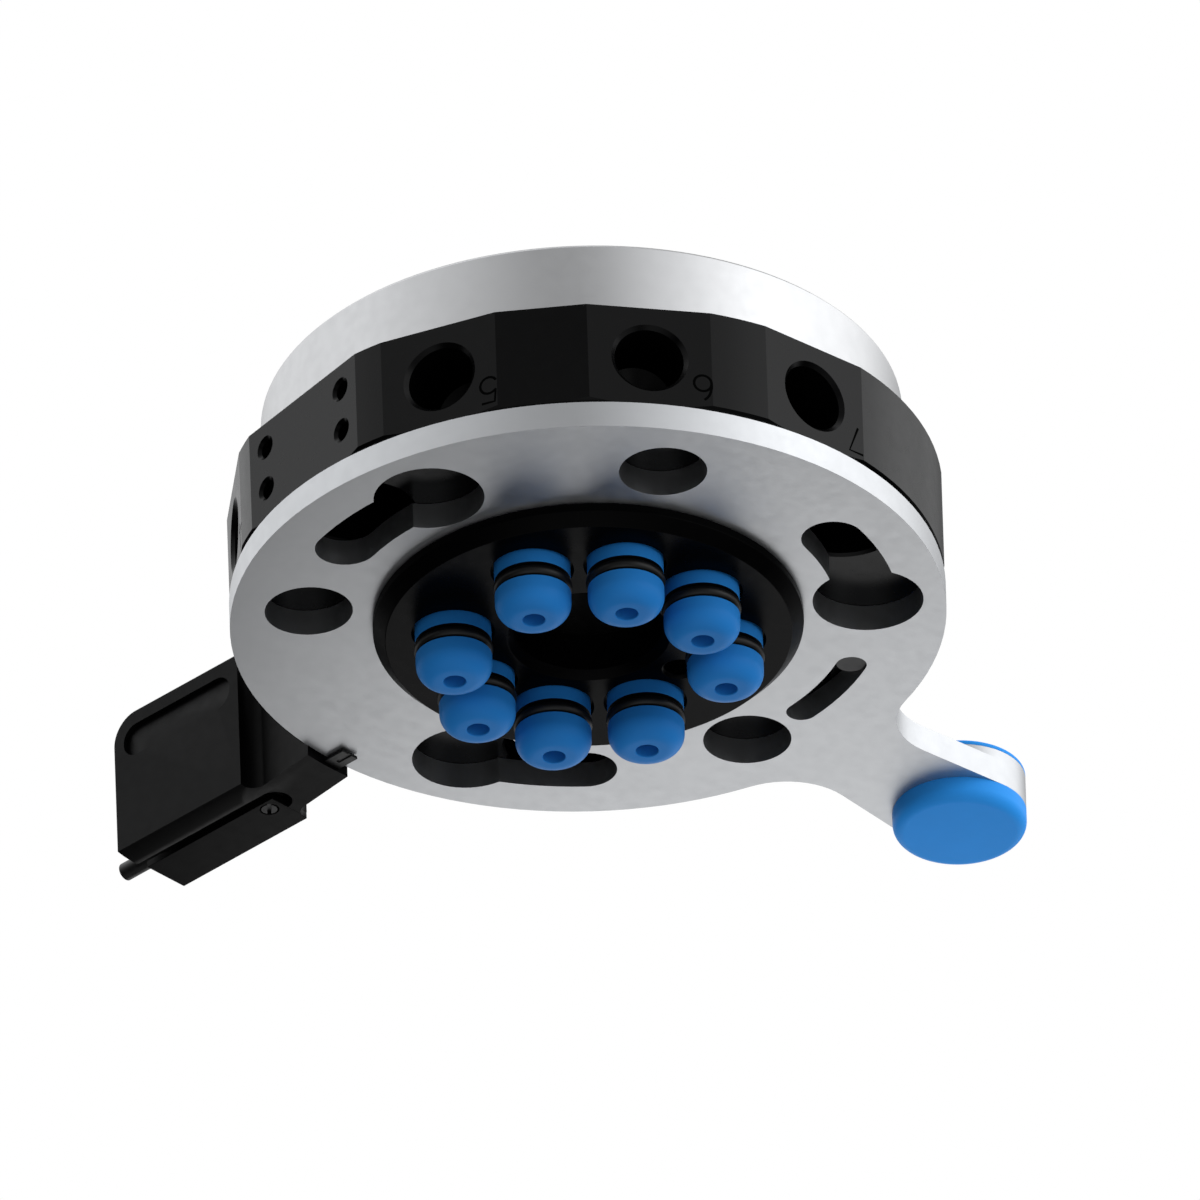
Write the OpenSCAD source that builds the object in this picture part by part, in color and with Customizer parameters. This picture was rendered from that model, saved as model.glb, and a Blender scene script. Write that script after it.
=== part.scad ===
/* [Robot adapter] */
// Diameter of the adapter disc
adapter_d = 107.4; // [105:0.2:114]
// Thickness of the adapter disc
adapter_h = 16; // [14:0.5:22]
// Diameter of the centring boss on the robot face
pilot_d = 50; // [46:1:56]
// Height of the centring boss
pilot_h = 5; // [3:0.5:8]
// Pitch circle of the robot flange screws
flange_pcd = 80; // [78:0.5:82]
// Clearance hole of a robot flange screw
flange_hole_d = 9; // [8.4:0.2:10]
// Counterbore of a robot flange screw
flange_head_d = 14; // [13.4:0.2:15]
// Depth of that counterbore
flange_head_h = 8.6; // [8:0.2:10]
// Locating hole for the robot's dowel
robot_dowel_d = 8; // [6:0.5:9]
// Small chamfer on the adapter's rims
adapter_chamfer = 0.6; // [0.2:0.1:1.2]

/* [Main body] */
// Diameter of the body between its flats
body_d = 120; // [118:0.5:126]
// Height of the body
body_h = 19.4; // [19:0.2:24]
// Chamfer on the body's lower rim
body_chamfer = 1; // [0.4:0.1:1.6]
// Cable bore through adapter, body and hub
bore_d = 24.7; // [20:0.1:26]
// Half angle of each port's flat
port_flat_half = 10.1; // [9:0.1:11]
// Half angle of the accessory flat
side_flat_half = 14.7; // [14:0.1:16]
// Half angle of the two blank flats
blank_flat_half = 7.4; // [6:0.1:8]
// Half angle of the sensor housing's seat
seat_flat_half = 4.9; // [4:0.1:5.5]

/* [Air ports] */
// Tapping bore of a port
port_bore_d = 11.8; // [11:0.1:12.2]
// Diameter of the chamfer at a port's mouth
port_mouth_d = 13.2; // [12.6:0.1:13.8]
// Depth of a port's tapping bore
port_depth = 12.5; // [10:0.5:13]
// Diameter of the air channels drilled in from the ports
channel_d = 5; // [4.5:0.1:6]
// Diameter of the risers that meet them from below
riser_d = 4.2; // [3:0.1:4.4]

/* [Accessory holes] */
// Spacing of the accessory holes across the flat
accessory_w = 21.6; // [20:0.2:23]
// Spacing of the accessory holes in height
accessory_h = 8.1; // [7:0.1:9]
// Tapping bore of an accessory hole
accessory_d = 3.3; // [3:0.1:3.6]
// Chamfer at an accessory hole's mouth
accessory_mouth_d = 4.4; // [4:0.1:5]
// Depth of an accessory hole
accessory_depth = 7; // [5:0.5:8]

/* [Lock ring] */
// Thickness of the lock ring
ring_h = 4.8; // [4.4:0.1:6]
// Bore of the lock ring
ring_bore_d = 68; // [66:0.2:69]
// Turn from locked to free, in degrees
ring_turn = 20; // [16:1:20]
// Pitch circle of the keyholes, studs and access holes
stud_pcd = 94; // [93:0.5:95]
// Entry hole for a tool stud's head
key_entry_d = 18.6; // [17:0.2:19]
// Width of the slot for a tool stud's neck
key_slot_w = 10.5; // [9:0.1:11]
// Length of that slot, in degrees
key_slot_angle = 25; // [24:1:26]
// Depth of the body's pocket for a stud's head
pocket_depth = 9; // [8:0.2:9.4]
// Access hole to a body screw
access_d = 14.8; // [13:0.2:15]
// Diameter of the stop pin
stop_pin_d = 5; // [4:0.1:5.4]
// Running gap between moving faces
run_gap = 0.05; // [0.03:0.01:0.08]
// Side clearance of the stop pin in its slot
stop_gap = 0.1; // [0.05:0.01:0.15]

/* [Lever and knob] */
// Distance from the axis to the knob
lever_r = 88.6; // [84:0.2:96]
// Radius of the lever's round end
lever_end_r = 11.25; // [10:0.25:12]
// Half width of the lever at its waist
lever_waist = 9.5; // [8:0.25:9.75]
// Radius of the fillets at the lever's root
lever_fillet_r = 12.4; // [8:0.2:13]
// Height of the raised boss on the lever
boss_h = 1.7; // [1:0.1:2.5]
// Height of the knob's lower cap
knob_h = 4; // [3.4:0.1:6]
// Rounding of the lower cap's rim
knob_round = 2; // [1:0.1:2.6]
// Height of the knob's top disc
disc_h = 1; // [0.8:0.1:2]

/* [Hub and nipples] */
// Diameter of the hub flange
hub_d = 72.2; // [71.5:0.1:73]
// Drop of the hub's face below the lock ring
hub_drop = 3.5; // [3.3:0.1:5]
// Chamfer on the hub's rim
hub_chamfer = 2; // [1:0.1:2.2]
// Chamfer at the mouth of the cable bore
bore_chamfer = 1.3; // [0.5:0.1:1.6]
// Pitch circle of the nipples
nipple_pcd = 45.65; // [44.5:0.05:46]
// Diameter of a nipple
nipple_d = 12.85; // [12:0.05:13]
// Length of a nipple below the hub's face
nipple_out = 9.8; // [9.4:0.1:12]
// Rounding of a nipple's tip
nipple_round = 3.3; // [2:0.1:4]
// Air bore of a nipple
nipple_bore_d = 3.8; // [3:0.1:4.5]
// Height of the seal groove's lower edge above the tip
groove_up = 5; // [4.6:0.1:5.4]
// Width of the seal groove
groove_w = 2.65; // [2.4:0.05:2.8]
// Section of a nipple's o-ring
o_ring_w = 2; // [1.8:0.05:2.2]
// How far an o-ring stands proud of its nipple
o_ring_proud = 0.25; // [0.1:0.05:0.4]
// Recess round each nipple in the hub's face
recess_d = 13.9; // [13.5:0.1:14.4]
// Depth of that recess
recess_h = 1.2; // [0.6:0.1:1.6]
// Distance from the axis to the index hole
index_r = 18.7; // [18:0.1:19.5]
// Diameter of the index hole
index_d = 5; // [4:0.1:5.4]

/* [Sensor housing] */
// Direction of the housing round the body, in degrees
module_angle = 100; // [99:0.5:101]
// Distance from the axis to the wide part
module_in = 74; // [72:0.1:78]
// Length of the wide part
module_l = 28.9; // [26:0.1:34]
// Half width of the wide part
module_half = 7.9; // [7.2:0.1:10]
// Height of the housing
module_h = 25.6; // [25:0.1:26]
// Rounding of the housing's upper outer corner
module_round = 5.1; // [3:0.1:8]
// Half width of the neck
neck_half = 4.8; // [4.6:0.1:5.2]
// Slant of the neck against the housing, in degrees
neck_slant = 6.3; // [0:0.1:7]
// Radius of the fillets between neck and wide part
neck_fillet_r = 2.5; // [1:0.1:2.9]
// Width of the cable channel
trough_w = 5.8; // [5.2:0.1:6]
// Thickness of the cover plate
plate_h = 1.2; // [0.8:0.1:1.5]
// Width of the cover plate
plate_w = 8.7; // [8:0.1:9]
// Diameter of the cable outlet
outlet_d = 3.1; // [2.6:0.1:3.3]
// How far the cable outlet stands out
outlet_out = 7.1; // [3:0.1:10]
// Width of the sensor's nose
nose_w = 3.5; // [2.8:0.1:3.8]

/* [Hidden] */
$fn = 96;
eps = 0.01;
tuck = 0.003;
far = 60;

port_angles = [30, 85, 115, 150, 210, 245, 275, 330];
nipple_angles = [30, 70, 110, 150, 210, 250, 290, 330];
pocket_angles = [60, 180, 300];
body_screw_angles = [0, 130, 230];
hub_screw_angles = [0, 50, 130, 180, 230, 310];
flange_angles = [30, 90, 150, 210, 270, 330];
blank_angles = [132.6, 227.4];
dowel_angles = [0, 180];
side_angle = 180;
robot_dowel_angle = 60;
stop_angle = -15;
detent_angle = 262;
lever_angle = ring_turn / 2;

z_body_top = -adapter_h;
z_body = z_body_top - body_h;
z_ring_top = z_body - run_gap;
z_ring = z_ring_top - ring_h;
z_hub_flange = z_ring - run_gap;
z_hub = z_ring - hub_drop;
z_tip = z_hub - nipple_out;
z_port = z_body + body_h / 2 - 0.1;
z_accessory = z_body + body_h / 2 + 1;

body_r = body_d / 2;
stud_r = stud_pcd / 2;
nipple_r = nipple_pcd / 2;
spigot_r = ring_bore_d / 2 - run_gap;

// Socket screws: thread, head diameter, head height
m5 = [5, 8.5, 5];
m6 = [6, 10, 6];
m4 = [4, 7, 4];
body_screw_l = 22;
hub_screw_l = 20;
module_screw_l = 14;
screw_room = 0.6;
head_sink = 0.5;
core = 0.84;
socket_share = 0.5;
z_body_seat = z_body + m6[2] + head_sink;
hub_sink = 1;
z_hub_seat = z_body_top - m5[2] - hub_sink;
hub_screw_edge = 6.6;
hub_screw_r = hub_d / 2 - hub_screw_edge;
hub_tap_spare = 0.4;
dowel_d = 6;
dowel_l = 16;
dowel_edge = 1.9;
dowel_r = hub_d / 2 + dowel_edge;
robot_dowel_depth = 10;

seal_w = 1.5;
seal_r = 4.9;
shank_d = 9;
slip = 0.02;

pin_grip = 8;
ball_d = 4;
ball_out = 0.5;
sleeve_d = 6;
sleeve_l = 9;
track_depth = 0.65;
dimple_depth = 0.9;
spring_wire = 0.5;
spring_turns = 4;

knob_screw_d = 5;
knob_screw_head = [9, 2.4];
knob_screw_l = 9;
knob_socket = 3.5;
knob_socket_depth = 1.4;
index_depth = 5;
boss_z = z_ring_top + boss_h;

ring_clear = 0.35;
z_module = z_ring - 1.55;
z_module_top = z_module + module_h;
module_out = module_in + module_l;
seat_r = body_r * cos(seat_flat_half);
plate_in = module_in - 0.3;
trough_v = -0.2;
trough_h = 5;
trough_u = 73.9;
trough_in = trough_u - trough_w / 2;
strip_h = 0.45;
strip_ramp = 4;
outlet_v = -1.3;
outlet_lift = 3.3;
z_outlet = z_module + outlet_lift;
outlet_hole = 3;
z_nose_top = z_ring - 0.3;
nose_h = 0.5;
nose_reach = 3.9;
module_screw_v = 0.75;
module_screw_low = 4.6;
module_screw_gap = 9.6;
module_screw_z = [z_body + module_screw_low, z_body + module_screw_low + module_screw_gap];
module_head_u = 66;
module_v = -0.15;
neck_v = -0.3;
grip_depth = 0.9;
grip_h = 6;
grip_inset = [1.9, 2.2, 2.5];
grip_fade = 6;
grub_d = 2.7;
grub_gap = 0.3;
grub_sink = 0.7;
grub_at = [module_in + 2.35, outlet_v];
grub_turn = -46;

// Place children at an angle and a distance from the tool axis
module at(angle, r, z = 0) {
    rotate([0, 0, angle]) translate([r, 0, z]) children();
}

// A post of revolution along +Z with its lower rim rounded
module rounded_post(r, h, round) {
    rotate_extrude() {
        square([r - round, h]);
        translate([0, round]) square([r, h - round]);
        intersection() {
            translate([r - round, round]) circle(round);
            square([r, h]);
        }
    }
}

// A socket screw along +Z: the head's underside at z = 0, the shank above it
module socket_screw(size, length) {
    translate([0, 0, -eps]) cylinder(d = size[0], h = length + eps);
    difference() {
        translate([0, 0, -size[2]]) cylinder(d = size[1], h = size[2]);
        translate([0, 0, -size[2] - eps]) cylinder(d = size[0], h = size[2] * socket_share, $fn = 6);
    }
}

// The hole that a socket screw needs, open at the head's side
module screw_hole(size, length, head_room) {
    cylinder(d = size[0] + screw_room, h = length);
    translate([0, 0, -head_room]) cylinder(d = size[1] + 1, h = head_room + eps);
}

module disc_ring(r_out, r_in, h) {
    difference() {
        cylinder(r = r_out, h = h);
        translate([0, 0, -eps]) cylinder(r = r_in, h = h + 2 * eps);
    }
}

// Robot adapter
module robot_adapter() {
    color("gainsboro") difference() {
        union() {
            rotate_extrude() polygon([
                [0, -adapter_h],
                [adapter_d / 2 - adapter_chamfer, -adapter_h],
                [adapter_d / 2, -adapter_h + adapter_chamfer],
                [adapter_d / 2, -adapter_chamfer],
                [adapter_d / 2 - adapter_chamfer, 0],
                [0, 0]]);
            translate([0, 0, -eps]) cylinder(d = pilot_d, h = pilot_h + eps);
        }
        translate([0, 0, -adapter_h - eps]) cylinder(d = bore_d, h = adapter_h + pilot_h + 2 * eps);
        for (a = flange_angles) at(a, flange_pcd / 2, -adapter_h) {
            translate([0, 0, -eps]) cylinder(d = flange_head_d, h = flange_head_h + eps);
            cylinder(d = flange_hole_d, h = adapter_h + eps);
        }
        for (a = body_screw_angles) at(a, stud_r, z_body_seat)
            cylinder(d = m6[0] * core + 2 * slip, h = body_screw_l + 1);
        for (a = dowel_angles) at(a, dowel_r, z_body_top - eps)
            cylinder(d = dowel_d, h = dowel_l / 2 + eps);
        at(robot_dowel_angle, flange_pcd / 2, -robot_dowel_depth)
            cylinder(d = robot_dowel_d, h = robot_dowel_depth + eps);
    }
}

module locating_dowels() {
    color("silver") for (a = dowel_angles) at(a, dowel_r, z_body_top - dowel_l / 2)
        cylinder(d = dowel_d, h = dowel_l);
}

// Cut a flat of the given half angle across the body's side
module flat_cut(angle, half) {
    at(angle, body_r * cos(half), z_body - 1)
        translate([0, -body_r / 2, 0]) cube([far, body_r, body_h + 2]);
}

// A port's tapping bore with its chamfered mouth, and the channel down to its nipple
module port_cut(port_angle, nipple_angle) {
    face = body_r * cos(port_flat_half);
    mouth = (port_mouth_d - port_bore_d) / 2;
    at(port_angle, face, z_port) rotate([0, -90, 0]) {
        translate([0, 0, -1]) cylinder(d = port_bore_d, h = port_depth + 1);
        translate([0, 0, -eps]) cylinder(d1 = port_mouth_d, d2 = port_bore_d, h = mouth);
        translate([0, 0, port_depth - eps])
            cylinder(d1 = port_bore_d, d2 = channel_d - 1, h = (port_bore_d - channel_d + 1) / 4);
    }
    start = (face - port_depth + 1) * [cos(port_angle), sin(port_angle)];
    finish = nipple_r * [cos(nipple_angle), sin(nipple_angle)];
    step = finish - start;
    translate([start.x, start.y, z_port]) rotate([0, 90, atan2(step.y, step.x)])
        cylinder(d = channel_d, h = norm(step) + channel_d / 2);
    at(nipple_angle, nipple_r, z_body - 1) cylinder(d = riser_d, h = z_port - z_body + 1);
}

module accessory_holes() {
    face = body_r * cos(side_flat_half);
    mouth = (accessory_mouth_d - accessory_d) / 2;
    for (side = [-1, 1], level = [-1, 1])
        rotate([0, 0, side_angle])
            translate([face, side * accessory_w / 2, z_accessory + level * accessory_h / 2])
                rotate([0, -90, 0]) {
                    translate([0, 0, -1]) cylinder(d = accessory_d, h = accessory_depth + 1, $fn = 32);
                    translate([0, 0, -eps])
                        cylinder(d1 = accessory_mouth_d, d2 = accessory_d, h = mouth, $fn = 32);
                }
}

// Main body
module main_body() {
    color([0.10, 0.10, 0.11]) difference() {
        rotate_extrude() polygon([
            [bore_d / 2, z_body],
            [body_r - body_chamfer, z_body],
            [body_r, z_body + body_chamfer],
            [body_r, z_body_top],
            [bore_d / 2, z_body_top]]);
        for (a = port_angles) flat_cut(a, port_flat_half);
        for (a = blank_angles) flat_cut(a, blank_flat_half);
        flat_cut(side_angle, side_flat_half);
        flat_cut(module_angle, seat_flat_half);
        for (i = [0:len(port_angles) - 1]) port_cut(port_angles[i], nipple_angles[i]);
        accessory_holes();
        for (a = pocket_angles) at(a, stud_r, z_body - eps) {
            cylinder(d = key_entry_d, h = pocket_depth + eps);
            cylinder(d1 = key_entry_d + 1, d2 = key_entry_d, h = 0.5);
        }
        for (a = body_screw_angles) at(a, stud_r, z_body_seat)
            screw_hole(m6, body_h, m6[2] + head_sink + 1);
        for (a = hub_screw_angles) at(a, hub_screw_r, z_hub_seat) mirror([0, 0, 1])
            screw_hole(m5, body_h, m5[2] + hub_sink + 1);
        for (a = dowel_angles) at(a, dowel_r, z_body_top - dowel_l / 2)
            cylinder(d = dowel_d, h = dowel_l);
        at(stop_angle, stud_r, z_body - 1) cylinder(d = stop_pin_d, h = pin_grip + 1);
        at(detent_angle, stud_r, z_body - 1) cylinder(d = sleeve_d, h = sleeve_l + 1);
        for (z = module_screw_z) at(module_angle, 0, z) translate([0, module_v + module_screw_v, 0])
            rotate([0, 90, 0]) translate([0, 0, module_head_u - module_screw_l - 1])
                cylinder(d = m4[0] * core + 2 * slip, h = far, $fn = 32);
    }
}

module body_screws() {
    color("dimgray") for (a = body_screw_angles) at(a, stud_r, z_body_seat)
        intersection() {
            socket_screw(m6, body_screw_l);
            union() {
                translate([0, 0, -m6[2]]) cylinder(d = far, h = m6[2] + z_body_top - z_body_seat);
                cylinder(d = m6[0] * core, h = body_screw_l);
            }
        }
}

// Hub
module hub() {
    color([0.07, 0.07, 0.08]) difference() {
        rotate_extrude() polygon([
            [bore_d / 2, z_body],
            [spigot_r, z_body],
            [spigot_r, z_hub_flange],
            [hub_d / 2, z_hub_flange],
            [hub_d / 2, z_hub + hub_chamfer],
            [hub_d / 2 - hub_chamfer, z_hub],
            [bore_d / 2 + bore_chamfer, z_hub],
            [bore_d / 2, z_hub + bore_chamfer]]);
        for (a = nipple_angles) at(a, nipple_r, z_hub - eps) {
            cylinder(d = shank_d + 2 * slip, h = far);
            cylinder(d = recess_d, h = recess_h + eps);
        }
        for (a = nipple_angles) at(a, nipple_r, z_body - seal_w)
            cylinder(r = seal_r + seal_w / 2 + 0.15, h = seal_w + 1);
        for (a = hub_screw_angles) at(a, hub_screw_r, z_hub_seat - hub_screw_l - hub_tap_spare)
            cylinder(d = m5[0] * core + 2 * slip, h = far, $fn = 32);
        at(0, index_r, z_hub - eps) {
            cylinder(d = index_d, h = index_depth);
            cylinder(d1 = index_d + 1, d2 = index_d, h = 0.5);
        }
    }
}

module hub_screws() {
    color("dimgray") for (a = hub_screw_angles) at(a, hub_screw_r, z_hub_seat) mirror([0, 0, 1])
        intersection() {
            socket_screw(m5, hub_screw_l);
            union() {
                translate([0, 0, -m5[2]]) cylinder(d = far, h = m5[2] + z_hub_seat - z_body);
                cylinder(d = m5[0] * core, h = hub_screw_l);
            }
        }
}

module port_seals() {
    color([0.05, 0.05, 0.05]) for (a = nipple_angles) at(a, nipple_r, z_body - seal_w / 2)
        rotate_extrude($fn = 48) translate([seal_r, 0]) circle(d = seal_w, $fn = 24);
}

// Stops and detent
module stop_pin() {
    color("silver") at(stop_angle, stud_r, z_ring + 0.4)
        cylinder(d = stop_pin_d, h = z_body + pin_grip - z_ring - 0.4, $fn = 48);
}

module detent_sleeve() {
    color("dimgray") at(detent_angle, stud_r, z_body) difference() {
        cylinder(d = sleeve_d, h = sleeve_l, $fn = 48);
        translate([0, 0, -1]) cylinder(d = ball_d + 0.1, h = sleeve_l, $fn = 48);
    }
}

module detent_ball() {
    color("silver") at(detent_angle, stud_r, z_body - ball_out + ball_d / 2) sphere(d = ball_d, $fn = 32);
}

module detent_spring() {
    z_low = z_body - ball_out + ball_d;
    z_high = z_body + sleeve_l - 1;
    h = z_high - z_low;
    color("silver") at(detent_angle, stud_r, z_low)
        linear_extrude(height = h, twist = -360 * spring_turns, slices = 18 * spring_turns, $fn = 8)
            translate([ball_d / 2 - spring_wire, 0]) circle(d = spring_wire);
}

// A nipple: the air post with its seal groove, screwed into the hub
module nipple(i) {
    seat = z_hub + recess_h;
    shank = z_body - seal_w - seat;
    floor_d = nipple_d + 2 * o_ring_proud - 2 * o_ring_w - 0.04;
    color("dodgerblue") at(nipple_angles[i], nipple_r, z_tip) difference() {
        union() {
            rounded_post(nipple_d / 2, seat - z_tip, nipple_round);
            cylinder(d = shank_d, h = seat - z_tip + shank);
        }
        translate([0, 0, -1]) cylinder(d = nipple_bore_d, h = far, $fn = 48);
        translate([0, 0, groove_up]) disc_ring(nipple_d, floor_d / 2, groove_w);
    }
}

// An o-ring round a nipple
module o_ring(i) {
    color([0.04, 0.04, 0.04]) at(nipple_angles[i], nipple_r, z_tip + groove_up + groove_w / 2)
        rotate_extrude() translate([nipple_d / 2 + o_ring_proud - o_ring_w / 2, 0])
            circle(d = o_ring_w, $fn = 32);
}

// A round-ended slot along the stud circle, from one angle to another
module arc_slot(from, to, width) {
    rotate([0, 0, from]) rotate_extrude(angle = to - from)
        translate([stud_r - width / 2, z_ring - 1]) square([width, ring_h + 2]);
    for (a = [from, to]) at(a, stud_r, z_ring - 1) cylinder(d = width, h = ring_h + 2);
}

// Plan of the lever in its own direction, joined to the ring's rim by two fillets
module lever_plan() {
    fillet_y = lever_waist + lever_fillet_r;
    fillet_x = sqrt(pow(body_r + lever_fillet_r, 2) - pow(fillet_y, 2));
    root = [fillet_x, fillet_y] * body_r / (body_r + lever_fillet_r);
    span = [lever_r - fillet_x, -fillet_y];
    slope = asin((lever_fillet_r + lever_end_r) / norm(span)) + atan2(span.y, span.x);
    outward = [-sin(slope), cos(slope)];
    waist = [fillet_x, fillet_y] - lever_fillet_r * outward;
    end = [lever_r, 0] + (lever_end_r - tuck) * outward;
    translate([lever_r, 0]) circle(lever_end_r);
    difference() {
        polygon([
            root, [fillet_x, fillet_y], waist, end,
            [end.x, -end.y], [waist.x, -waist.y], [fillet_x, -fillet_y], [root.x, -root.y]]);
        for (side = [-1, 1]) translate([fillet_x, side * fillet_y]) circle(lever_fillet_r);
    }
}

// Lock ring with its lever
module lock_ring() {
    color("lightgray") difference() {
        union() {
            translate([0, 0, z_ring]) linear_extrude(ring_h) {
                circle(body_r);
                rotate([0, 0, lever_angle]) lever_plan();
            }
            at(lever_angle, lever_r, z_ring) cylinder(r = lever_end_r, h = ring_h + boss_h);
        }
        translate([0, 0, z_ring - 1]) cylinder(d = ring_bore_d, h = ring_h + 2);
        for (a = pocket_angles) {
            at(a + ring_turn, stud_r, z_ring - 1) cylinder(d = key_entry_d, h = ring_h + 2);
            arc_slot(a + ring_turn - key_slot_angle, a + ring_turn, key_slot_w);
        }
        for (a = body_screw_angles) at(a + ring_turn, stud_r, z_ring - 1)
            cylinder(d = access_d, h = ring_h + 2);
        arc_slot(stop_angle, stop_angle + ring_turn, stop_pin_d + 2 * stop_gap);
        rotate([0, 0, detent_angle]) rotate_extrude(angle = ring_turn)
            translate([stud_r - 1.5, z_ring_top - track_depth]) square([3, track_depth + 1]);
        for (a = [detent_angle, detent_angle + ring_turn]) at(a, stud_r, z_ring_top - dimple_depth)
            cylinder(d1 = 3, d2 = 3 + 2 * dimple_depth, h = dimple_depth + eps);
        at(lever_angle, lever_r, 0) {
            translate([0, 0, z_ring - 1]) cylinder(d = knob_screw_d + 0.4, h = ring_h + boss_h + 2);
            translate([0, 0, boss_z - knob_screw_head[1] - 0.1])
                cylinder(d = knob_screw_head[0] + 0.6, h = far);
        }
    }
}

module knob_cap() {
    color("dodgerblue") at(lever_angle, lever_r, z_ring - knob_h) difference() {
        rounded_post(lever_end_r, knob_h, knob_round);
        translate([0, 0, knob_h - 2.6]) cylinder(d = knob_screw_d, h = 3, $fn = 48);
    }
}

module knob_disc() {
    color("dodgerblue") at(lever_angle, lever_r, boss_z) mirror([0, 0, 1])
        translate([0, 0, -disc_h]) rounded_post(lever_end_r, disc_h, disc_h * 0.6);
}

module knob_screw() {
    seat = boss_z - knob_screw_head[1] - 0.1;
    color("silver") at(lever_angle, lever_r, seat) difference() {
        union() {
            cylinder(d = knob_screw_head[0], h = knob_screw_head[1], $fn = 48);
            translate([0, 0, z_ring - 2.5 - seat])
                cylinder(d = knob_screw_d - 2 * slip, h = seat - z_ring + 2.5 + eps, $fn = 48);
        }
        translate([0, 0, knob_screw_head[1] - knob_socket_depth]) cylinder(d = knob_socket, h = far, $fn = 6);
    }
}

// Place children in the sensor housing's own frame
module at_housing() {
    rotate([0, 0, module_angle]) translate([0, module_v, 0]) children();
}

// Plan of the sensor housing: the wide part, the neck and the fillets between them
module housing_plan() {
    translate([module_in, -module_half]) square([module_l, 2 * module_half]);
    difference() {
        translate([module_in, neck_v]) rotate([0, 0, -neck_slant])
            translate([-far / 2, -neck_half]) square([far / 2 + 1, 2 * neck_half]);
        translate([seat_r - far, -far / 2]) square([far, far]);
    }
    for (side = [-1, 1]) translate([module_in - neck_fillet_r, neck_edge(side)]) difference() {
        translate([0, side > 0 ? -1 : -neck_fillet_r]) square([neck_fillet_r + eps, neck_fillet_r + 1]);
        translate([0, side * neck_fillet_r]) circle(neck_fillet_r, $fn = 48);
    }
}

// Edge of the neck where a fillet starts
function neck_edge(side) = neck_v + neck_fillet_r * tan(neck_slant) + side * neck_half / cos(neck_slant);

// Side view of the housing, with its upper outer corner rounded
module housing_side() {
    translate([0, z_module]) square([module_out, module_h - module_round]);
    translate([0, z_module]) square([module_out - module_round, module_h]);
    translate([module_out - module_round, z_module_top - module_round]) circle(module_round);
}

// A shallow finger grip, deepest at its upper edge and at its outer end
module grip_cut() {
    u_in = module_in + grip_inset[0];
    u_out = module_out - grip_inset[1];
    r = grip_h / 2;
    translate([0, module_half, z_module_top - grip_inset[2] - grip_h]) intersection() {
        translate([0, 1, 0]) rotate([90, 0, 0]) linear_extrude(2) {
            translate([u_in + r, 0]) square([u_out - u_in - grip_h, grip_h]);
            for (u = [u_in + r, u_out - r]) translate([u, r]) circle(r, $fn = 48);
        }
        union() {
            translate([module_in, 0, 0]) rotate([atan(grip_depth / grip_h), 0, 0])
                cube([module_l, 2, far / 2]);
            translate([u_out - grip_fade, 0, 0]) rotate([0, 0, -atan(grip_depth / grip_fade)])
                cube([far, 2, grip_h]);
        }
    }
}

// The strip between side face and cable channel stands out a little, ramped at its inner end
module strip() {
    edge = trough_v + trough_w / 2;
    intersection() {
        translate([0, 0, z_module]) rotate([90, 0, 90]) linear_extrude(module_out)
            polygon([[module_half, 0], [module_half - 1.6, -strip_h * 0.7], [module_half - 3.6, -strip_h],
                     [edge + 0.7, -strip_h], [edge, 0], [edge - 1, 0], [edge - 1, 1], [module_half, 1]]);
        translate([trough_in, 0, z_module]) rotate([0, strip_ramp, 0])
            translate([0, -1, 0]) cube([far, module_half + 2, far]);
        translate([0, 0, z_module - 1]) linear_extrude(2) housing_plan();
    }
}

// Sensor housing
module sensor_housing() {
    color([0.13, 0.13, 0.14]) at_housing() difference() {
        union() {
            intersection() {
                translate([0, 0, z_module]) linear_extrude(module_h) housing_plan();
                translate([0, far / 2, 0]) rotate([90, 0, 0]) linear_extrude(far) housing_side();
            }
            strip();
        }
        translate([0, 0, z_module - 1]) cylinder(r = body_r + ring_clear, h = z_body - z_module + 1);
        for (side = [0, 1]) mirror([0, side, 0]) grip_cut();
        translate([trough_u, trough_v, z_module - 1]) {
            cylinder(d = trough_w, h = trough_h + 1, $fn = 48);
            translate([0, -trough_w / 2, 0]) cube([far, trough_w, trough_h + 1]);
        }
        translate([plate_in - slip, -module_half - 1, z_module - 1])
            cube([module_l + 2, plate_w + 1 + slip, plate_h + 1]);
        translate([seat_r - 2, -nose_w / 2 - 0.1, z_nose_top - nose_h - 0.05])
            cube([trough_u + 2 - seat_r, nose_w + 0.2, z_module + trough_h - z_nose_top + nose_h]);
        for (z = module_screw_z) translate([0, module_screw_v, z]) rotate([0, 90, 0]) {
            translate([0, 0, seat_r - 1]) cylinder(d = m4[0] + 0.4, h = far, $fn = 48);
            translate([0, 0, module_head_u - eps]) cylinder(d = m4[1] + 0.4, h = far, $fn = 48);
        }
    }
}

module sensor_housing_screws() {
    color("dimgray") at_housing() for (z = module_screw_z)
        translate([module_head_u, module_screw_v, z]) rotate([0, -90, 0])
            intersection() {
                socket_screw(m4, module_screw_l, $fn = 48);
                union() {
                    translate([0, 0, -m4[2]]) cylinder(d = far, h = m4[2] + module_head_u - seat_r - eps);
                    cylinder(d = m4[0] * core, h = module_screw_l, $fn = 32);
                }
            }
}

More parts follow.
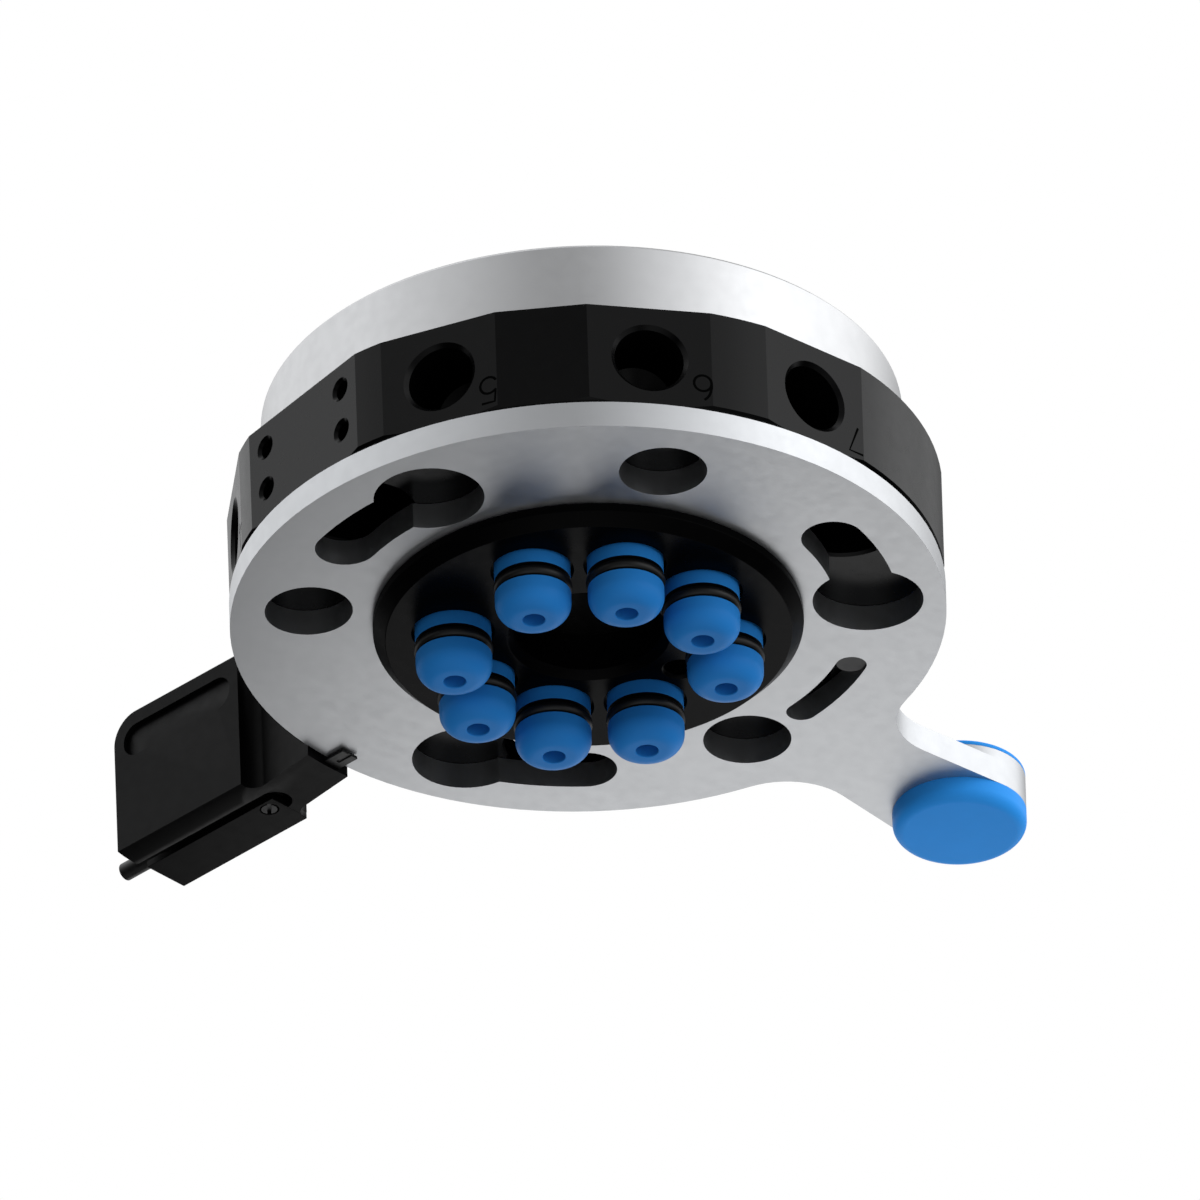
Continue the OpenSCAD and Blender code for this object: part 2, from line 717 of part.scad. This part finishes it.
// Lock sensor: its nose under the ring, its body in the neck and its cable outlet
module lock_sensor() {
    body_in = body_r + ring_clear + 0.1;
    body_z = z_outlet - 0.5;
    nose_low = z_nose_top - nose_h;
    color([0.10, 0.10, 0.10]) at_housing() difference() {
        union() {
            translate([body_r - nose_reach, -nose_w / 2, nose_low]) cube([nose_reach + 1, nose_w, nose_h]);
            translate([body_in, -nose_w / 2, nose_low])
                cube([trough_in - 1 - body_in, nose_w, z_module + trough_h - nose_low - 0.1]);
            translate([body_in, -nose_w / 2, body_z])
                cube([trough_u - body_in, nose_w, z_module + trough_h - body_z - 0.1]);
            translate([trough_u - 0.3, outlet_v, z_outlet]) rotate([0, 90, 0])
                cylinder(d = outlet_d, h = module_out + outlet_out - trough_u + 0.3, $fn = 48);
        }
        translate([module_out + outlet_out - outlet_hole, outlet_v, z_outlet]) rotate([0, 90, 0])
            cylinder(d = outlet_d * 0.6, h = outlet_hole + 1, $fn = 48);
        translate([body_r - nose_reach - 1, -0.4, nose_low - 1]) cube([nose_reach, 0.8, 1.2]);
    }
}

module cover_plate() {
    color([0.14, 0.14, 0.15]) at_housing() translate([0, 0, z_module]) difference() {
        intersection() {
            linear_extrude(plate_h) housing_plan();
            translate([plate_in, -module_half, 0]) cube([module_l + 1, plate_w, plate_h]);
        }
        translate([grub_at.x, grub_at.y, -1]) cylinder(d = grub_d + 2 * slip, h = plate_h + 2, $fn = 48);
        translate([grub_at.x, grub_at.y, -1]) cylinder(d = grub_d + 2 * grub_gap, h = grub_sink + 1, $fn = 48);
    }
}

// Slotted grub screw that clamps the sensor
module cover_screw() {
    color("dimgray") at_housing() translate([grub_at.x, grub_at.y, z_module])
        difference() {
            cylinder(d = grub_d, h = z_outlet - outlet_d / 2 - z_module - eps, $fn = 48);
            rotate([0, 0, grub_turn]) translate([-grub_d, -0.35, -1]) cube([2 * grub_d, 0.7, 1.6]);
        }
}

robot_adapter();
locating_dowels();
main_body();
body_screws();
hub();
hub_screws();
port_seals();
stop_pin();
detent_sleeve();
detent_ball();
detent_spring();
nipple(0);  // nipple_1
nipple(1);  // nipple_2
nipple(2);  // nipple_3
nipple(3);  // nipple_4
nipple(4);  // nipple_5
nipple(5);  // nipple_6
nipple(6);  // nipple_7
nipple(7);  // nipple_8
o_ring(0);  // o_ring_1
o_ring(1);  // o_ring_2
o_ring(2);  // o_ring_3
o_ring(3);  // o_ring_4
o_ring(4);  // o_ring_5
o_ring(5);  // o_ring_6
o_ring(6);  // o_ring_7
o_ring(7);  // o_ring_8
lock_ring();
knob_cap();
knob_disc();
knob_screw();
sensor_housing();
sensor_housing_screws();
lock_sensor();
cover_plate();
cover_screw();
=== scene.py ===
"""Robotic tool changer: looks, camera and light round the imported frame."""
import bmesh
import bpy
import math
from mathutils import Matrix, Quaternion, Vector


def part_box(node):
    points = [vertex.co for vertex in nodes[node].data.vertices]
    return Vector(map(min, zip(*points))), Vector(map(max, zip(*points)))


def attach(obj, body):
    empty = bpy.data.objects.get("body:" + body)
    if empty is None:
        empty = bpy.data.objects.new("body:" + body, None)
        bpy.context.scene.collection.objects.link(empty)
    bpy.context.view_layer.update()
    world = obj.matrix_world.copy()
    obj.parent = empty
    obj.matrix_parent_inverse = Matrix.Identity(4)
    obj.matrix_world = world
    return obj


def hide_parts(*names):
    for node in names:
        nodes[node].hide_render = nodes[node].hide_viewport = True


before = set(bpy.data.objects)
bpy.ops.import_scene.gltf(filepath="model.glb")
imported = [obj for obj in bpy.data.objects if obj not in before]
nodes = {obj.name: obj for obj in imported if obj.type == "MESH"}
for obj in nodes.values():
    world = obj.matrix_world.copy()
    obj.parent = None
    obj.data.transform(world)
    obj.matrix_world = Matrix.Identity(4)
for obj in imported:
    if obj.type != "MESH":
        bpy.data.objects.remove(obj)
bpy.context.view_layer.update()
MM = 0.001

# Camera: below the part, looking up at it, with the ring's face left of and below the middle
VIEW_AZIMUTH = math.radians(-36.5)
VIEW_ELEVATION = math.radians(-32.5)
VIEW_ROLL = math.radians(1.91)
VIEW_WIDTH = 200.8 * MM
FACE_LEFT = 1.98 * MM
FACE_BELOW = 3.14 * MM
CAMERA_DISTANCE = 250 * MM
CLIP = (10 * MM, 20000 * MM)

# Floor: only the camera sees it, and it lies so low that it stays out of the views from beneath
FLOOR_Z = -600 * MM
FLOOR_HALF = 4000 * MM
FLOOR_GREY = 0.85

# Soft light in the world, each patch with its degrees round from the camera's right hand
# by its far side, its degrees up and its strength
LOBES = [
    (0, 32, 1.3), (322, 22, 1.25), (330, -8, 1.0), (35, 20, 0.9), (0, 60, 0.3), (0, 90, 0.6),
    (120, 25, 0.7), (150, 25, 0.7), (210, 25, 0.8), (180, 60, 1.1), (270, 25, 0.45),
    (0, -90, 0.8), (265, -45, 0.5),
]
LOBE_EDGE = 0.72
WORLD_TINT = (0.985, 0.992, 1.0, 1)

# A round panel beyond the part and below it, which the lock ring's face mirrors
PANEL_R = 140 * MM
PANEL_AWAY = 140 * MM
PANEL_ASIDE = 142 * MM
PANEL_SIDE = math.radians(62)
PANEL_LEVEL = 1.22


def add(name, data):
    """A new object in the scene"""
    obj = bpy.data.objects.new(name, data)
    bpy.context.scene.collection.objects.link(obj)
    return obj


# ---------------------------------------------------------------- materials

MOTTLE_SCALE = 90
GLOSS_SCALE = 450


def new_material(name):
    mat = bpy.data.materials.new(name)
    mat.use_nodes = True
    tree = mat.node_tree
    return mat, tree, tree.nodes["Principled BSDF"]


def noise(tree, scale, detail):
    coord = tree.nodes.new("ShaderNodeTexCoord")
    tex = tree.nodes.new("ShaderNodeTexNoise")
    tex.inputs["Scale"].default_value = scale
    tex.inputs["Detail"].default_value = detail
    tex.inputs["Roughness"].default_value = 0.55
    tree.links.new(coord.outputs["Object"], tex.inputs["Vector"])
    return tex.outputs["Fac"]


def ramp_value(tree, source, low, high):
    """Maps a noise of about 0.3 to 0.7 onto low to high"""
    node = tree.nodes.new("ShaderNodeMapRange")
    node.inputs["From Min"].default_value = 0.3
    node.inputs["From Max"].default_value = 0.7
    node.inputs["To Min"].default_value = low
    node.inputs["To Max"].default_value = high
    tree.links.new(source, node.inputs["Value"])
    return node.outputs["Result"]


def tint(tree, source, dark, light):
    node = tree.nodes.new("ShaderNodeMix")
    node.data_type = "RGBA"
    node.inputs["A"].default_value = (*dark, 1)
    node.inputs["B"].default_value = (*light, 1)
    tree.links.new(ramp_value(tree, source, 0, 1), node.inputs["Factor"])
    return node.outputs["Result"]


def bump(tree, source, distance):
    node = tree.nodes.new("ShaderNodeBump")
    node.inputs["Strength"].default_value = 0.5
    node.inputs["Distance"].default_value = distance
    tree.links.new(source, node.inputs["Height"])
    return node.outputs["Normal"]


def surface(name, colour, rough, vary, rough_vary, grain, depth, metallic=0.0, specular=0.5):
    """A material with mottled colour, uneven gloss and a fine grain, its depth in microns"""
    mat, tree, shader = new_material(name)
    broad = noise(tree, MOTTLE_SCALE, 4)
    fine = noise(tree, grain, 2)
    gloss = noise(tree, GLOSS_SCALE, 3)
    dark = [c * (1 - vary) for c in colour]
    light = [min(1, c * (1 + vary)) for c in colour]
    links = {
        "Base Color": tint(tree, broad, dark, light),
        "Roughness": ramp_value(tree, gloss, rough - rough_vary, rough + rough_vary),
        "Normal": bump(tree, fine, depth * MM / 1000),
    }
    for socket, source in links.items():
        tree.links.new(source, shader.inputs[socket])
    shader.inputs["Metallic"].default_value = metallic
    shader.inputs["Specular IOR Level"].default_value = specular
    return mat


ALUMINIUM = surface("satin_aluminium", (0.50, 0.503, 0.51), rough=0.40,
                    vary=0.015, rough_vary=0.03, grain=5200, depth=4, metallic=1.0)
RING_ALUMINIUM = surface("ring_aluminium", (0.478, 0.487, 0.50), rough=0.42,
                         vary=0.015, rough_vary=0.03, grain=5200, depth=4, metallic=1.0)
BLACK = surface("black_anodised", (0.001, 0.001, 0.0011), rough=0.25,
                vary=0.10, rough_vary=0.03, grain=4200, depth=4, specular=0.11)
HUB_BLACK = surface("hub_anodised", (0.001, 0.001, 0.0011), rough=0.30,
                    vary=0.10, rough_vary=0.04, grain=4200, depth=3, specular=0.03)
HOUSING = surface("black_plastic", (0.0016, 0.0016, 0.0017), rough=0.42,
                  vary=0.08, rough_vary=0.04, grain=3000, depth=8, specular=0.055)
RUBBER = surface("rubber", (0.004, 0.004, 0.004), rough=0.42,
                 vary=0.10, rough_vary=0.05, grain=2600, depth=6, specular=0.35)
# Two copies of one blue plastic: the knob's is brighter as painted light, the nipples' darker as
# painted shade
KNOB_BLUE_PAINTED_LIGHT = surface("blue_plastic", (0.033, 0.33, 0.93), rough=0.42,
               vary=0.03, rough_vary=0.03, grain=3200, depth=4, specular=0.05)
NIPPLE_BLUE_PAINTED_SHADE = surface("nipple_blue_painted_shade", (0.024, 0.235, 0.68), rough=0.40,
                      vary=0.03, rough_vary=0.03, grain=3200, depth=4, specular=0.06)
STEEL = surface("steel", (0.52, 0.52, 0.53), rough=0.30,
                vary=0.04, rough_vary=0.05, grain=3800, depth=3, metallic=1.0)
BLACK_STEEL = surface("black_steel", (0.008, 0.008, 0.009), rough=0.35,
                      vary=0.12, rough_vary=0.05, grain=3800, depth=3, metallic=0.6)
INK = surface("engraving", (0.002, 0.002, 0.002), rough=0.8,
              vary=0.05, rough_vary=0.05, grain=3000, depth=3, specular=0.0)


# ---------------------------------------------------------------- CAD nodes

WELD = 0.002 * MM
FLAT_ANGLE = math.radians(0.2)
NORMAL_WEIGHT = 60

# Degrees from which an edge is crisp: fewer on the body, whose facets meet at shallow angles
CREASE = 35
BODY_CREASE = 9


def split_edges(obj, crease):
    """Keeps edges crisp from an angle of crease degrees on"""
    split = obj.modifiers.new("split", "EDGE_SPLIT")
    split.split_angle = math.radians(crease)


def dress(name, material, bevel=0.0, crease=CREASE):
    """Gives a CAD node its material, smooth curved faces and either broken or crisp edges"""
    obj = nodes[name]
    mesh = obj.data
    mesh.materials.clear()
    mesh.materials.append(material)
    for key in ("custom_normal", "sharp_face", "sharp_edge"):
        if key in mesh.attributes:
            mesh.attributes.remove(mesh.attributes[key])
    mesh.polygons.foreach_set("use_smooth", [True] * len(mesh.polygons))
    weld = obj.modifiers.new("weld", "WELD")
    weld.merge_threshold = WELD
    if bevel:
        flat = obj.modifiers.new("flat", "DECIMATE")
        flat.decimate_type = "DISSOLVE"
        flat.angle_limit = FLAT_ANGLE
        edge = obj.modifiers.new("edge", "BEVEL")
        edge.width = bevel * MM
        edge.segments = 2
        edge.limit_method = "ANGLE"
        edge.angle_limit = math.radians(crease)
        edge.use_clamp_overlap = True
        edge.miter_outer = "MITER_ARC"
        normal = obj.modifiers.new("normal", "WEIGHTED_NORMAL")
        normal.weight = NORMAL_WEIGHT
    else:
        split_edges(obj, crease)


NUMBERS = range(1, 9)

dress("robot_adapter", ALUMINIUM, 0.15)
dress("main_body", BLACK, crease=BODY_CREASE)
dress("hub", HUB_BLACK, 0.10)
dress("lock_ring", RING_ALUMINIUM, 0.22)
for part in ("locating_dowels", "detent_sleeve", "detent_ball", "detent_spring", "knob_screw"):
    dress(part, STEEL)
for part in ("stop_pin", "body_screws", "hub_screws", "sensor_housing_screws", "cover_screw"):
    dress(part, BLACK_STEEL)
dress("port_seals", RUBBER)
for i in NUMBERS:
    dress(f"o_ring_{i}", RUBBER)
# The knob takes the brighter copy of the blue, painted light
dress("knob_cap", KNOB_BLUE_PAINTED_LIGHT)
dress("knob_disc", KNOB_BLUE_PAINTED_LIGHT, 0.10)
dress("sensor_housing", HOUSING, 0.15)
dress("cover_plate", HOUSING, 0.08)
dress("lock_sensor", RUBBER, 0.05)


# ---------------------------------------------------------------- nipples

# The profile in mm, heights above the tip
NIPPLE_BORE_R = 1.9
NIPPLE_BORE_EDGE = 0.12
NIPPLE_ROUND = 3.3
GROOVE_FLOOR_R = 4.655
GROOVE_UP = (5.0, 7.65)
SHANK_R = 4.5
NIPPLE_HEAD = 11.0

# Counts: sides of the groove, steps of the rounding, steps of the full turn
GROOVE_SIDES = 3
ROUND_STEPS = 14
TURN_STEPS = 96


def lathe(name, profile, dark):
    """A mesh turned from a closed profile in mm, with the sides listed in dark given the second
    material, a black that paints shade on them
    """
    work = bmesh.new()
    rings = []
    for k in range(TURN_STEPS):
        a = 2 * math.pi * k / TURN_STEPS
        x, y = math.cos(a), math.sin(a)
        rings.append([work.verts.new((r * x * MM, r * y * MM, z * MM)) for r, z in profile])
    for k, ring in enumerate(rings):
        following = rings[(k + 1) % TURN_STEPS]
        for j in range(len(profile)):
            m = (j + 1) % len(profile)
            face = work.faces.new((ring[j], ring[m], following[m], following[j]))
            face.material_index = int(j in dark)
            face.smooth = True
    bmesh.ops.recalc_face_normals(work, faces=work.faces)
    mesh = bpy.data.meshes.new(name)
    work.to_mesh(mesh)
    work.free()
    return mesh


def nipple(i):
    """The nipple turned again with a smooth tip, since the CAD mesh shows flats there"""
    low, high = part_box(f"nipple_{i}")
    radius = (high.x - low.x) / 2 / MM
    top = (high.z - low.z) / MM
    groove_low, groove_high = GROOVE_UP
    profile = [(NIPPLE_BORE_R, top), (NIPPLE_BORE_R, NIPPLE_BORE_EDGE),
               (NIPPLE_BORE_R + NIPPLE_BORE_EDGE, 0)]
    for k in range(ROUND_STEPS + 1):
        a = math.radians(90 * k / ROUND_STEPS)
        profile.append((radius - NIPPLE_ROUND * (1 - math.sin(a)),
                        NIPPLE_ROUND * (1 - math.cos(a))))
    # The groove's faces take the black rubber as painted shade, standing in for the shadow in the
    # groove above the O-ring
    painted_shade_groove = range(len(profile), len(profile) + GROOVE_SIDES)
    profile += [(radius, groove_low), (GROOVE_FLOOR_R, groove_low),
                (GROOVE_FLOOR_R, groove_high), (radius, groove_high),
                (radius, NIPPLE_HEAD), (SHANK_R, NIPPLE_HEAD), (SHANK_R, top)]
    mesh = lathe(f"air_nipple_{i}", profile, painted_shade_groove)
    mesh.transform(Matrix.Translation(((low.x + high.x) / 2, (low.y + high.y) / 2, low.z)))
    # The nipples take the darker copy of the blue, painted shade
    mesh.materials.append(NIPPLE_BLUE_PAINTED_SHADE)
    # Second material: black rubber painted on the groove as shade
    mesh.materials.append(RUBBER)
    piece = add(f"air_nipple_{i}", mesh)
    split_edges(piece, CREASE)
    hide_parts(f"nipple_{i}")
    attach(piece, "master")


for i in NUMBERS:
    nipple(i)


# ---------------------------------------------------------------- port numbers

def arc(x, y, rx, ry, start, stop, steps=14):
    angles = [math.radians(start + (stop - start) * k / steps) for k in range(steps + 1)]
    return [(x + rx * math.cos(a), y + ry * math.sin(a)) for a in angles]


# The strokes of each number in mm, about its middle
DIGITS = {
    1: [[(-0.9, 1.6), (0.3, 2.5), (0.3, -2.5)]],
    2: [arc(0, 1.05, 1.45, 1.45, 170, -35) + [(-1.5, -2.5), (1.6, -2.5)]],
    3: [arc(-0.1, 1.25, 1.35, 1.25, 150, -90), arc(-0.1, -1.15, 1.55, 1.35, 90, -155)],
    4: [[(0.8, -2.5), (0.8, 2.5), (-1.6, -1.1), (1.6, -1.1)]],
    5: [[(1.3, 2.5), (-1.1, 2.5), (-1.3, 0.2)] + arc(-0.05, -0.9, 1.55, 1.6, 140, -150)],
    6: [arc(0, -0.95, 1.5, 1.55, 0, 360, 24), [(-1.5, -0.9)] + arc(0.5, -0.6, 2.0, 3.1, 175, 110)],
    7: [[(-1.5, 2.5), (1.5, 2.5), (-0.5, -2.5)]],
    8: [arc(0, 1.3, 1.25, 1.2, 0, 360, 24), arc(0, -1.15, 1.55, 1.35, 0, 360, 24)],
}

# Where they stand: degrees round the tool axis, distance beside the port, height in the frame
PORT_ANGLES = [30, 85, 115, 150, 210, 245, 275, 330]
DIGIT_SIDE = 8.9 * MM
DIGIT_Z = -31.0 * MM
DOWN = Vector((0, 0, -1))

# How they lie: half the line's width, its share left in depth, half the facet's width
STROKE = 0.23 * MM
FLATTEN = 0.06
FACET_HALF = 8.5 * MM


def facet_radius(out):
    """Distance of the body's facet along a direction, from the mesh itself"""
    best = 0
    for vertex in nodes["main_body"].data.vertices:
        if abs(vertex.co.cross(out).z) < FACET_HALF:
            best = max(best, vertex.co.dot(out))
    return best


def strokes_mesh(number):
    """The number's strokes as round lines about the origin"""
    curve = bpy.data.curves.new(f"port_number_{number}", "CURVE")
    curve.dimensions = "3D"
    curve.bevel_depth = STROKE
    curve.bevel_resolution = 2
    curve.use_fill_caps = True
    for stroke in DIGITS[number]:
        spline = curve.splines.new("POLY")
        spline.points.add(len(stroke) - 1)
        for point, (x, y) in zip(spline.points, stroke):
            point.co = (x * MM, y * MM, 0, 1)
    lines = add("lines", curve)
    bpy.context.view_layer.update()
    depsgraph = bpy.context.evaluated_depsgraph_get()
    mesh = bpy.data.meshes.new_from_object(lines.evaluated_get(depsgraph))
    bpy.data.objects.remove(lines)
    return mesh


def digit(number, angle):
    """A number laid thinly on the facet beside its port, its top towards the tool side"""
    mesh = strokes_mesh(number)
    piece = add(f"port_number_{number}", mesh)
    turn = math.radians(angle)
    out = Vector((math.cos(turn), math.sin(turn), 0))
    side = Vector((-math.sin(turn), math.cos(turn), 0))
    place = out * facet_radius(out) + side * DIGIT_SIDE + Vector((0, 0, DIGIT_Z))
    basis = Matrix((-side, DOWN, out * FLATTEN)).transposed()
    mesh.transform(Matrix.Translation(place) @ basis.to_4x4())
    mesh.materials.clear()
    mesh.materials.append(INK)
    mesh.polygons.foreach_set("use_smooth", [True] * len(mesh.polygons))
    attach(piece, "master")


for number, port_angle in zip(NUMBERS, PORT_ANGLES):
    digit(number, port_angle)


# ---------------------------------------------------------------- camera

def turned(right, away, up):
    """A direction given to the right of, away from and above the camera's heading"""
    c, s = math.cos(VIEW_AZIMUTH), math.sin(VIEW_AZIMUTH)
    return Vector((right * c - away * s, right * s + away * c, up))


def heading(degrees, up):
    """The direction at an angle from the camera's right hand towards its far side, and up"""
    a, e = math.radians(degrees), math.radians(up)
    return turned(math.cos(a) * math.cos(e), math.sin(a) * math.cos(e), math.sin(e))


def looking(way):
    """The turn that makes a camera or a lamp look along a way"""
    return way.to_track_quat("-Z", "Y")


back = turned(0, -math.cos(VIEW_ELEVATION), math.sin(VIEW_ELEVATION))
camera_data = bpy.data.cameras.new("camera")
camera_data.type = "ORTHO"
camera_data.ortho_scale = VIEW_WIDTH
camera_data.clip_start, camera_data.clip_end = CLIP
camera = add("camera", camera_data)
camera.rotation_mode = "QUATERNION"
camera.rotation_quaternion = looking(-back) @ Quaternion((0, 0, 1), -VIEW_ROLL)
axes = camera.rotation_quaternion.to_matrix()
face = Vector((0, 0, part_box("lock_ring")[0].z))
centre = face + axes.col[0] * FACE_LEFT + axes.col[1] * FACE_BELOW
camera.location = centre + back * CAMERA_DISTANCE
bpy.context.scene.camera = camera


# ---------------------------------------------------------------- floor

floor_mesh = bpy.data.meshes.new("floor")
corners = [(-1, -1), (1, -1), (1, 1), (-1, 1)]
floor_mesh.from_pydata([(x * FLOOR_HALF, y * FLOOR_HALF, FLOOR_Z) for x, y in corners],
                       [], [(0, 1, 2, 3)])
floor = add("floor", floor_mesh)
floor_mat, _, floor_shader = new_material("pale_floor")
floor_shader.inputs["Base Color"].default_value = (FLOOR_GREY, FLOOR_GREY, FLOOR_GREY, 1)
floor_shader.inputs["Roughness"].default_value = 0.9
floor_shader.inputs["Specular IOR Level"].default_value = 0.1
floor_mesh.materials.append(floor_mat)
floor.visible_diffuse = floor.visible_glossy = False
floor.visible_transmission = floor.visible_shadow = False


# ---------------------------------------------------------------- panel

spot = turned(0, math.cos(VIEW_ELEVATION), math.sin(VIEW_ELEVATION)) * PANEL_AWAY
aside = turned(math.cos(PANEL_SIDE), math.sin(PANEL_SIDE), 0) * PANEL_ASIDE
panel_data = bpy.data.lights.new("panel", "AREA")
panel_data.shape = "DISK"
panel_data.size = 2 * PANEL_R
# The watts that make a disk of this size as bright as PANEL_LEVEL
panel_data.energy = PANEL_LEVEL * (math.pi * PANEL_R) ** 2
panel = add("panel", panel_data)
panel.location = face + aside + spot
panel.rotation_mode = "QUATERNION"
panel.rotation_quaternion = looking(-spot)
panel.visible_camera = False


# ---------------------------------------------------------------- world

def lobe(tree, coord, degrees, up, strength):
    """A soft round patch of light about a direction"""
    dot = tree.nodes.new("ShaderNodeVectorMath")
    dot.operation = "DOT_PRODUCT"
    dot.inputs[1].default_value = heading(degrees, up)
    tree.links.new(coord.outputs["Generated"], dot.inputs[0])
    patch = tree.nodes.new("ShaderNodeMapRange")
    patch.interpolation_type = "SMOOTHSTEP"
    patch.inputs["From Min"].default_value = LOBE_EDGE
    patch.inputs["From Max"].default_value = 1.0
    patch.inputs["To Max"].default_value = strength
    tree.links.new(dot.outputs["Value"], patch.inputs["Value"])
    return patch.outputs["Result"]


world = bpy.data.worlds.new("studio")
bpy.context.scene.world = world
world.use_nodes = True
tree = world.node_tree
tree.nodes.clear()
coord = tree.nodes.new("ShaderNodeTexCoord")
total = lobe(tree, coord, *LOBES[0])
for values in LOBES[1:]:
    added = tree.nodes.new("ShaderNodeMath")
    tree.links.new(total, added.inputs[0])
    tree.links.new(lobe(tree, coord, *values), added.inputs[1])
    total = added.outputs[0]
light = tree.nodes.new("ShaderNodeBackground")
light.inputs["Color"].default_value = WORLD_TINT
tree.links.new(total, light.inputs["Strength"])
white = tree.nodes.new("ShaderNodeBackground")
white.inputs["Color"].default_value = (1, 1, 1, 1)
path = tree.nodes.new("ShaderNodeLightPath")
mix = tree.nodes.new("ShaderNodeMixShader")
tree.links.new(path.outputs["Is Camera Ray"], mix.inputs["Fac"])
tree.links.new(light.outputs[0], mix.inputs[1])
tree.links.new(white.outputs[0], mix.inputs[2])
output = tree.nodes.new("ShaderNodeOutputWorld")
tree.links.new(mix.outputs[0], output.inputs["Surface"])

bpy.context.scene.view_settings.view_transform = "Standard"
